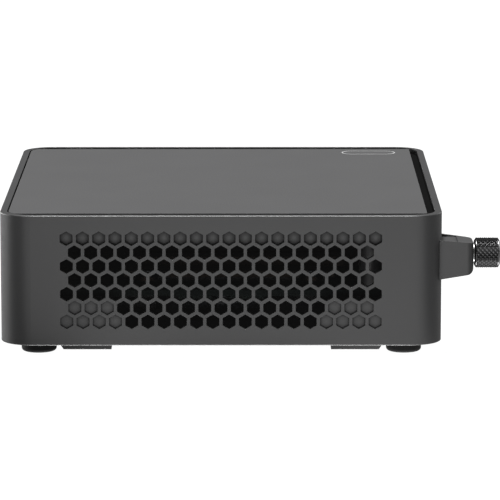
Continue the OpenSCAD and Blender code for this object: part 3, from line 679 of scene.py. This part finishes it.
def network_wires(gold, x, z):
    """Sprung wires that slope down from the mouth."""
    corners = ((-1, -1), (1, -1), (1, 1), (-1, 1))
    for i in range(WIRES):
        at = x + (i - (WIRES - 1) / 2) * WIRE_PITCH
        for ends in zip(WIRE_PATH, WIRE_PATH[1:]):
            loft(gold, [[(at + side * WIRE_HALF_W, y, z + height + up * WIRE_HALF_T)
                         for side, up in corners] for y, height in ends])


# ---- Parts on the memory modules, the cards and the board ----

MODULES = ["memory_module_upper", "memory_module_lower"]
MODULE_T, MODULE_CHIP_T, MODULE_CONTACT_T = 1, 1, 0.04
CARD_T = 0.8
DRIVE_LOW, DRIVE_HIGH = frame_box("ssd_card")
CARD_Z = DRIVE_HIGH[2] - CARD_T

# The parts of a card reach a little into it
SEAT = 0.02

# Shield of the wireless card: its thickness and its distances from the card's edges
WIRELESS_LOW, WIRELESS_HIGH = frame_box("wifi_card")
SHIELD_T, SHIELD_START, SHIELD_END, SHIELD_MARGIN = 1.4, 7, 10, 3

# Chips of the drive card: distance from the socket's end of the card, length and width
DRIVE_CHIP_T = 1.5
DRIVE_CHIPS = [(8, 9, 12), (24, 17, 14), (44, 17, 14), (63, 8, 10)]

# Small parts beside the drive card's first chips: first middle and count of each row, and
# the row's near side in y
DRIVE_SMALL_ROWS = [(-22.15, 6), (-11.8, 7)]
DRIVE_SMALL_Y = (-9.4, 9.0)
DRIVE_SMALL_SIZE = 0.4

# The board's underside: its chips as x, y and half width, the blocks of larger parts as
# x and y from and to, and the middles of its screws
BOARD_LOW = frame_box("motherboard")[0][2]
BOARD_CHIPS = [(1.5, 20, 3.2), (1.5, 31, 2.4), (44, -30, 2.6), (-43.5, -30, 2.6), (2, 45, 3)]
TAKEN = [(-38, -51, 38, -12), (-47, -12.5, 43, 12.5), (-47, 12.5, -6, 38), (11, 11, 37, 37)]
BOARD_SCREWS = [(x, y) for x in (-48.5, 48.5) for y in (-46.5, 38)]
SCREW_CLEARANCE = 5
BOARD_CHIP_T = 0.9

# Small parts of the board: a grid whose columns and rows are shifted in turn
GRID_START, GRID_PITCH_X, GRID_PITCH_Y = -49, 3.1, 3.0
GRID_COLUMNS, GRID_ROWS = 32, 33
GRID_SHIFT_X, GRID_SHIFT_Y = 0.5, 0.4
SMALL_HALF_L, SMALL_HALF_W, SMALL_T = 0.6, 0.3, 0.45


def make_memory_parts():
    chips, gold, small = bmesh.new(), bmesh.new(), bmesh.new()
    for module in MODULES:
        level = frame_box(module)[0][2] + MODULE_CHIP_T
        block_row(chips, count=4, start=-23.25, pitch=15.5, half=5.5, ys=(-34, -20),
                  zs=(level - MODULE_CHIP_T, level + MODULE_T + MODULE_CHIP_T), edge=0.1,
                  grow=0.03)
        block_row(gold, count=60, start=-32.5, pitch=1.1, half=0.25, ys=(-41.6, -40.2),
                  zs=(level - MODULE_CONTACT_T, level + MODULE_T + MODULE_CONTACT_T), edge=0.02)
        for ys in ((-38.4, -37.9), (-16.6, -16.1)):
            block_row(small, count=26, start=-31, pitch=2.5, half=0.5, ys=ys,
                      zs=(level - 0.35, level), edge=0.05)
    piece("memory_chips", chips, "case", "chip")
    piece("memory_contacts", gold, "case", "foil")
    piece("memory_small_parts", small, "case", "part")


def make_card_parts():
    chips, shield, small = bmesh.new(), bmesh.new(), bmesh.new()
    for start, length, width in DRIVE_CHIPS:
        low = (DRIVE_LOW[0] + start, -width / 2, CARD_Z - DRIVE_CHIP_T)
        high = (low[0] + length, width / 2, CARD_Z + SEAT)
        soft_block(chips, low, high, edge=0.1, grow=0.03)
    low = (WIRELESS_LOW[0] + SHIELD_START, WIRELESS_LOW[1] + SHIELD_MARGIN, CARD_Z - SHIELD_T)
    high = (WIRELESS_HIGH[0] - SHIELD_END, WIRELESS_HIGH[1] - SHIELD_MARGIN, CARD_Z + SEAT)
    soft_block(shield, low, high, edge=0.25, grow=0.03)
    for start, count in DRIVE_SMALL_ROWS:
        for y in DRIVE_SMALL_Y:
            block_row(small, count, start, pitch=1.15, half=0.35, ys=(y, y + DRIVE_SMALL_SIZE),
                      zs=(CARD_Z - DRIVE_SMALL_SIZE, CARD_Z), edge=0.05)
    piece("drive_chips", chips, "case", "chip")
    piece("wireless_shield", shield, "case", "shield")
    piece("drive_small_parts", small, "case", "part")


def clear_of_parts(x, y):
    """True where the underside of the board has nothing tall on it."""
    if any(x0 < x < x1 and y0 < y < y1 for x0, y0, x1, y1 in TAKEN):
        return False
    return all(math.hypot(x - sx, y - sy) >= SCREW_CLEARANCE for sx, sy in BOARD_SCREWS)


def board_places():
    """An uneven grid with gaps, the same on every run, with the way that each part lies."""
    for i in range(GRID_COLUMNS):
        for j in range(GRID_ROWS):
            x = GRID_START + i * GRID_PITCH_X + GRID_SHIFT_X * ((j * 7) % 3)
            y = GRID_START + j * GRID_PITCH_Y + GRID_SHIFT_Y * ((i * 5) % 3)
            if clear_of_parts(x, y) and (i * 13 + j * 29) % 5:
                yield x, y, (i + j) % 2


def make_board_parts():
    small, chips = bmesh.new(), bmesh.new()
    for x, y, lies_along_x in board_places():
        halves = (SMALL_HALF_L, SMALL_HALF_W)
        dx, dy = halves if lies_along_x else reversed(halves)
        soft_block(small, (x - dx, y - dy, BOARD_LOW - SMALL_T), (x + dx, y + dy, BOARD_LOW),
                   edge=0.06)
    for x, y, half in BOARD_CHIPS:
        soft_block(chips, (x - half, y - half, BOARD_LOW - BOARD_CHIP_T),
                   (x + half, y + half, BOARD_LOW), edge=0.1)
    piece("board_small_parts", small, "case", "part")
    piece("board_chips", chips, "case", "chip")


# ---- Printed marks ----

PRINT_T = 0.03

# Power symbol: a ring that is open at the top, and a bar in the opening
SYMBOL_INNER, SYMBOL_OUTER = 1.35, 1.65
SYMBOL_GAP = math.radians(35)
SYMBOL_STEPS = 40
BAR_HALF, BAR_START, BAR_END = 0.15, 0.5, 1.9

# Panel mark: a plain outline with round ends, at a distance from the panel's rear left corner
MARK_INSET_X, MARK_INSET_Y = 6.8, 11.6
MARK_HALF_LENGTH, MARK_R, MARK_LINE = 4.4, 3.1, 0.4
MARK_STEPS = 64


def make_power_symbol():
    x, _, z = middle("power_button")
    face = frame_box("power_button")[0][1]
    start = math.pi / 2 + SYMBOL_GAP
    sweep = math.tau - 2 * SYMBOL_GAP
    rows = []
    for s in range(SYMBOL_STEPS + 1):
        angle = start + sweep * s / SYMBOL_STEPS
        rows.append([(x + r * math.cos(angle), y, z + r * math.sin(angle)) for r, y in (
            (SYMBOL_INNER, face), (SYMBOL_OUTER, face),
            (SYMBOL_OUTER, face - PRINT_T), (SYMBOL_INNER, face - PRINT_T))])
    mesh_data = bmesh.new()
    loft(mesh_data, rows)
    soft_block(mesh_data, (x - BAR_HALF, face - PRINT_T, z + BAR_START),
               (x + BAR_HALF, face + 0.02, z + BAR_END), edge=0.01)
    piece("power_symbol", mesh_data, "power_button_body", "mark")


def make_lid_mark():
    low, high = frame_box("top_panel")
    centre = Vector((low[0] + MARK_INSET_X, high[1] - MARK_INSET_Y, high[2]))
    up = Vector((0, 0, PRINT_T))
    rows = []
    for s in range(MARK_STEPS):
        angle = math.tau * (s + 0.5) / MARK_STEPS
        ray = Vector((math.cos(angle), math.sin(angle), 0))
        middle_of_end = centre + Vector((0, math.copysign(MARK_HALF_LENGTH, ray.y), 0))
        inner = middle_of_end + ray * (MARK_R - MARK_LINE)
        outer = middle_of_end + ray * MARK_R
        rows.append([inner, outer, outer + up, inner + up])
    rows.append(rows[0])
    mesh_data = bmesh.new()
    loft(mesh_data, rows, close_ends=False)
    bmesh.ops.remove_doubles(mesh_data, verts=mesh_data.verts, dist=0.001)
    piece("panel_mark", mesh_data, "case", "mark")


make_camera()
make_studio()
materials = make_materials()
for look, members in LOOKS.items():
    for member in members:
        dress(member, materials[look])
make_thumbscrew()
make_socket_insides()
make_memory_parts()
make_card_parts()
make_board_parts()
make_power_symbol()
make_lid_mark()

scene.view_settings.view_transform = "Standard"
